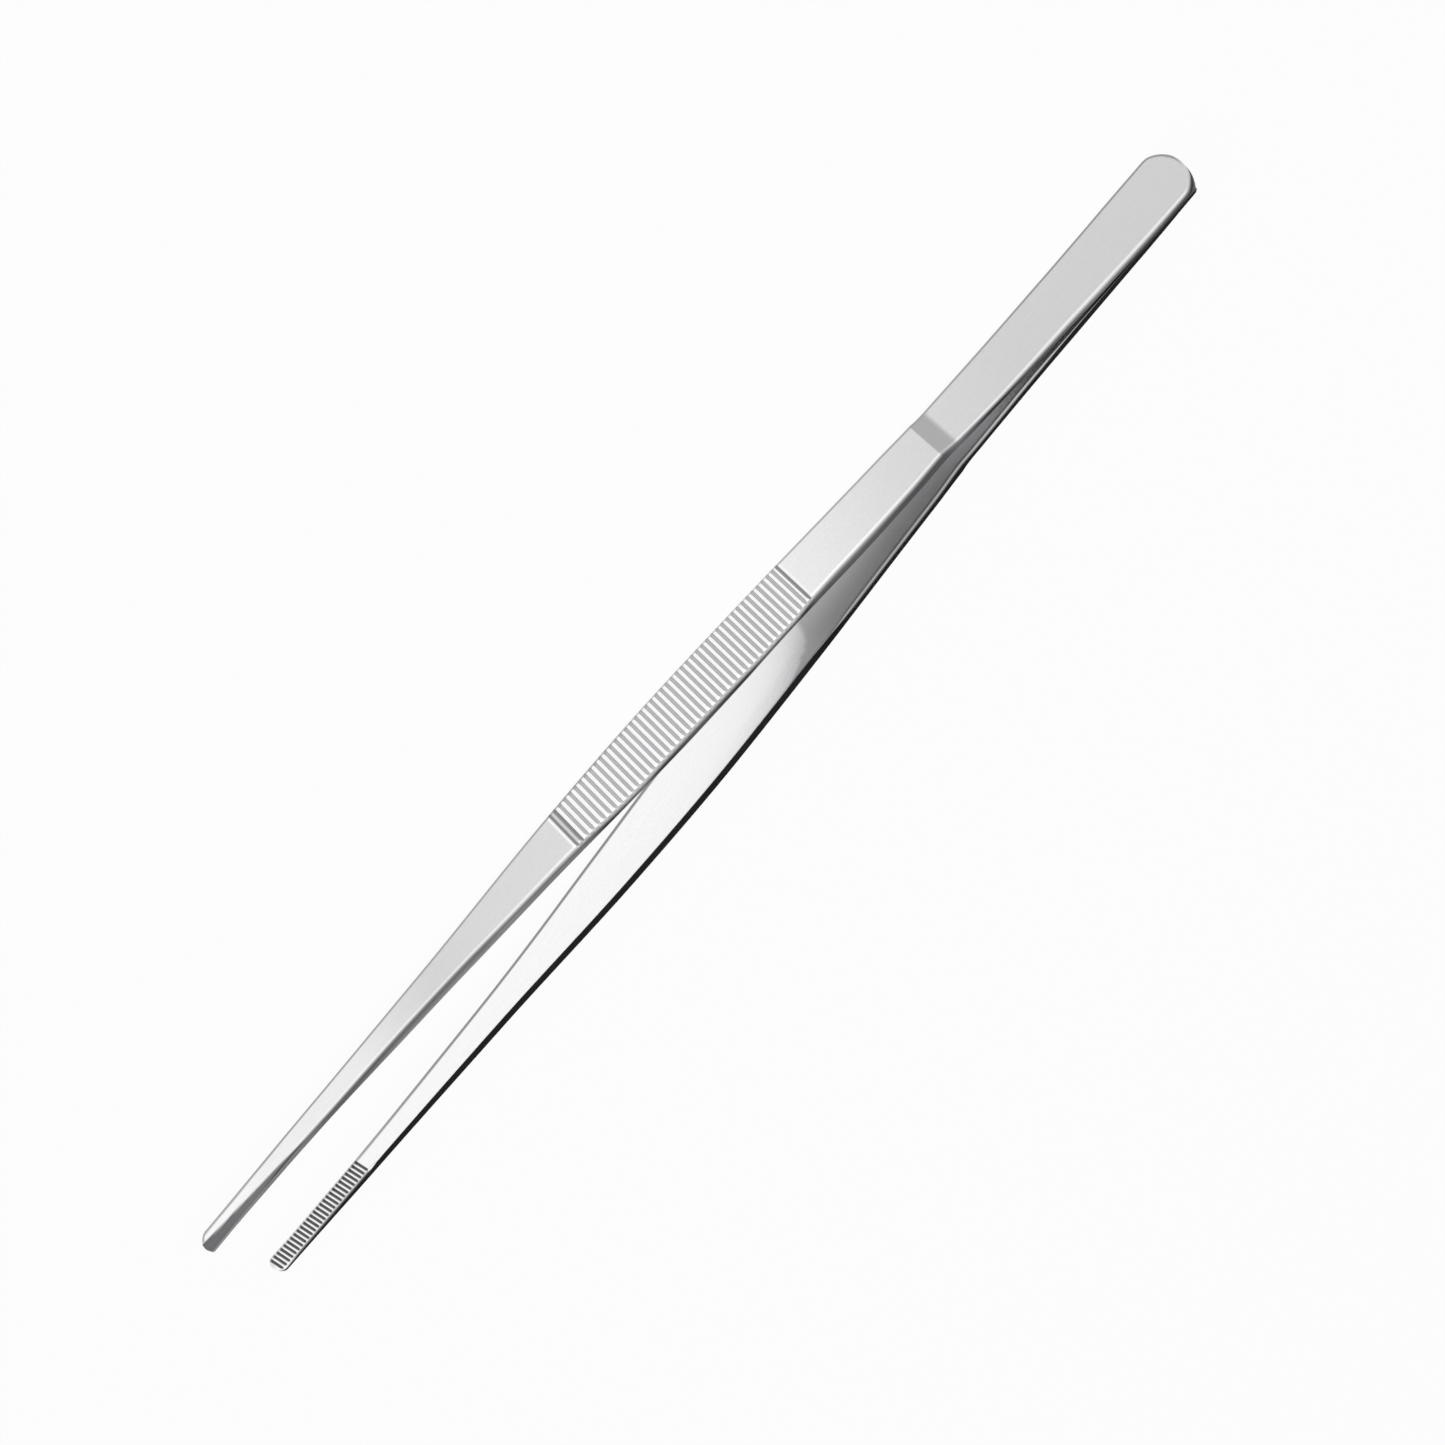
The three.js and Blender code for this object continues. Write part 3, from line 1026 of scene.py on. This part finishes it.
        # A unit grid, spread until its steps are 1
        spread = Matrix(((0, 0, 0, 0), (0, rows, 0, rows / 2), (columns, 0, 0, columns / 2), (0, 0, 0, 1)))
        bmesh.ops.create_grid(bar, x_segments=columns, y_segments=rows, size=0.5, matrix=spread)
        ring = [edge for edge in bar.edges if edge.is_boundary]
        for place in self.stations()[1:]:
            drawn = bmesh.ops.extrude_edge_only(bar, edges=ring)["geom"]
            ends = {part for part in drawn if isinstance(part, BMVert)}
            for vert in ends:
                vert.co.x = place
            edges = [part for part in drawn if isinstance(part, BMEdge)]
            ring = [edge for edge in edges if set(edge.verts) <= ends]
        bmesh.ops.edgeloop_fill(bar, edges=ring)
        # The extrusion leaves the faces in another order each run
        for index, face in enumerate(sorted(bar.faces, key=lambda face: tuple(face.calc_center_median()))):
            face.index = index
        bar.faces.sort()
        return bar

    def build(self, steel: Material) -> Object:
        """Forms the straight bar into the arm, puts it in its place and dresses it.

        Args:
            steel: The finish.

        Returns:
            The finished piece.
        """
        bar = self.draw_bar()
        layers = {mark: bar.verts.layers.float.new(mark.value) for mark in Mark}
        for vert in bar.verts:
            position, marks = self.formed(vert.co.x, round(vert.co.y), round(vert.co.z))
            vert.co = position
            for mark, layer in layers.items():
                vert[layer] = marks[mark]
        turn = Matrix.Rotation(math.pi if self.near else 0.0, 4, "X")
        place = Matrix.Translation((-self.depth_offset, 0, self.height)) @ turn
        bmesh.ops.transform(bar, matrix=Matrix.Scale(MM, 4) @ place, verts=bar.verts)
        bmesh.ops.recalc_face_normals(bar, faces=bar.faces)
        mesh = bpy.data.meshes.new(f"{self.side.value}_arm_strip")
        bar.to_mesh(mesh)
        bar.free()
        mesh.shade_smooth()
        mesh.set_sharp_from_angle(angle=math.radians(self.crease_angle))
        piece = bpy.data.objects.new(mesh.name, mesh)
        bpy.context.scene.collection.objects.link(piece)
        self.dress(piece, steel)
        return piece

    def dress(self, piece: Object, steel: Material) -> None:
        """Gives the arm its finish, and lets it stand for its two solids by hiding them.

        Args:
            piece: The arm's piece.
            steel: The finish.
        """
        piece.data.materials.append(steel)
        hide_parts(f"{self.side.value}_arm_heel", f"{self.side.value}_arm_front")
        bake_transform(piece)


@dataclass(frozen=True)
class Welds:
    """The two spot welds between the heels, which keep their solids."""

    nodes: tuple[str, ...] = ("rear_weld_nugget", "front_weld_nugget")

    def dress(self, steel: Material) -> list[Object]:
        """Gives the welds their finish.

        Args:
            steel: The finish.

        Returns:
            The dressed pieces.
        """
        pieces = [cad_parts[name] for name in self.nodes]
        for piece in pieces:
            piece.data.materials.clear()
            piece.data.materials.append(steel)
        return pieces


@dataclass(frozen=True)
class Studio:
    """Pale floor, soft light and the camera at the photograph's viewing angle."""

    camera_at: tuple[float, float, float] = (-76.645, -647.864, 436.474)
    aim: tuple[float, float, float] = (-1.46, 5.667, 5.907)
    roll: float = 134.324
    lens: float = 104.674
    sensor: float = 36.0
    # From the camera, in metres
    clip: tuple[float, float] = (0.05, 50.0)
    # Across, in metres
    floor_size: float = 12.0
    lamp_size: tuple[float, float] = (1.4, 1.0)
    floor_colour: str = "#f4f4f4"
    floor_glow: float = 0.94
    sky: str = "#ffffff"
    # A dark card stands low behind the tweezers and draws the dark edge lines
    card_azimuth: float = 5.0
    card_elevation: float = 12.0
    card_inner: float = 28.0
    card_outer: float = 104.0
    card_light: float = 0.01
    lamp_at: tuple[float, float, float] = (-100.0, -1000.0, 1000.0)
    lamp_light: float = 0.48

    def add_camera(self) -> None:
        """Places the camera."""
        data = bpy.data.cameras.new("camera")
        data.sensor_width = self.sensor
        data.lens = self.lens
        data.clip_start, data.clip_end = self.clip
        camera = bpy.data.objects.new("camera", data)
        bpy.context.scene.collection.objects.link(camera)
        at, aim = Vector(self.camera_at) * MM, Vector(self.aim) * MM
        level = (aim - at).to_track_quat("-Z", "Y")
        camera.rotation_mode = "QUATERNION"
        camera.rotation_quaternion = level @ Quaternion((0, 0, 1), math.radians(self.roll))
        camera.location = at
        bpy.context.scene.camera = camera

    def add_floor(self) -> None:
        """Lays the floor, which glows for the camera and for reflections and keeps the shadow."""
        bm = bmesh.new()
        bmesh.ops.create_grid(bm, x_segments=1, y_segments=1, size=self.floor_size / 2)
        mesh = bpy.data.meshes.new("floor")
        bm.to_mesh(mesh)
        bm.free()
        floor = bpy.data.objects.new("floor", mesh)
        bpy.context.scene.collection.objects.link(floor)
        material = new_material("floor_paper")
        tree = material.node_tree
        path = add_node(tree, "LightPath").outputs
        seen = path["Is Camera Ray"]
        for ray in ("Is Glossy Ray", "Is Transmission Ray"):
            seen = add_node(tree, "Math", {0: seen, 1: path[ray]}, operation="MAXIMUM").outputs[0]
        share = add_node(tree, "Math", {0: seen, 1: self.floor_glow}, operation="MULTIPLY").outputs[0]
        paper = add_node(tree, "BsdfDiffuse", {"Color": linear(self.floor_colour)}).outputs[0]
        glow = add_node(tree, "Emission", {"Color": linear(self.sky), "Strength": 1.0}).outputs[0]
        both = add_node(tree, "MixShader", {0: share, 1: paper, 2: glow}).outputs[0]
        add_node(tree, "OutputMaterial", {"Surface": both})
        mesh.materials.append(material)

    def add_world(self) -> None:
        """Lights the world evenly, with the dark card behind the tweezers."""
        world = bpy.data.worlds.new("studio")
        bpy.context.scene.world = world
        world.use_nodes = True
        tree = world.node_tree
        tree.nodes.clear()
        azimuth, elevation = math.radians(self.card_azimuth), math.radians(self.card_elevation)
        level = math.cos(elevation)
        card = (level * math.sin(azimuth), level * math.cos(azimuth), math.sin(elevation))
        way = add_node(tree, "TexCoord").outputs["Generated"]
        between = add_node(tree, "VectorMath", {0: way, 1: card}, operation="DOT_PRODUCT")
        cosine = between.outputs["Value"]
        angle = add_node(tree, "Math", {0: cosine}, operation="ARCCOSINE").outputs[0]
        dark, pale = math.radians(self.card_inner), math.radians(self.card_outer)
        fall = {"Value": angle, "From Min": dark, "From Max": pale, "To Min": self.card_light, "To Max": 1.0}
        light = add_node(tree, "MapRange", fall, interpolation_type="LINEAR").outputs[0]
        path = add_node(tree, "LightPath").outputs
        strength = add_node(tree, "Mix", {0: path["Is Camera Ray"], 2: light, 3: 1.0}).outputs[0]
        lit = {"Color": linear(self.sky), "Strength": strength}
        sky = add_node(tree, "Background", lit).outputs[0]
        add_node(tree, "OutputWorld", {"Surface": sky})

    def add_lamp(self) -> None:
        """Hangs one large soft lamp overhead, a little to the front."""
        data = bpy.data.lights.new("softbox", "AREA")
        data.shape = "RECTANGLE"
        data.size, data.size_y = self.lamp_size
        data.energy = self.lamp_light * math.pi * self.lamp_size[0] * self.lamp_size[1]
        lamp = bpy.data.objects.new("softbox", data)
        lamp.location = Vector(self.lamp_at) * MM
        lamp.rotation_mode = "QUATERNION"
        lamp.rotation_quaternion = (-lamp.location).to_track_quat("-Z", "Y")
        bpy.context.scene.collection.objects.link(lamp)

    def set_colours(self) -> None:
        """Shows colours as they are written."""
        bpy.context.scene.view_settings.view_transform = "Standard"


def main() -> None:
    """Builds the studio and the tweezers, and logs each piece."""
    logging.basicConfig(level=logging.INFO, format="%(message)s")
    studio = Studio()
    studio.add_camera()
    studio.add_floor()
    studio.add_world()
    studio.add_lamp()
    studio.set_colours()
    steel = SatinStainless().make()
    pieces = [Arm(side).build(steel) for side in Side]
    pieces += Welds().dress(WeldSteel().make())
    for piece in pieces:
        LOG.info("%s: %d faces", piece.name, len(piece.data.polygons))


if __name__ == "__main__":
    main()
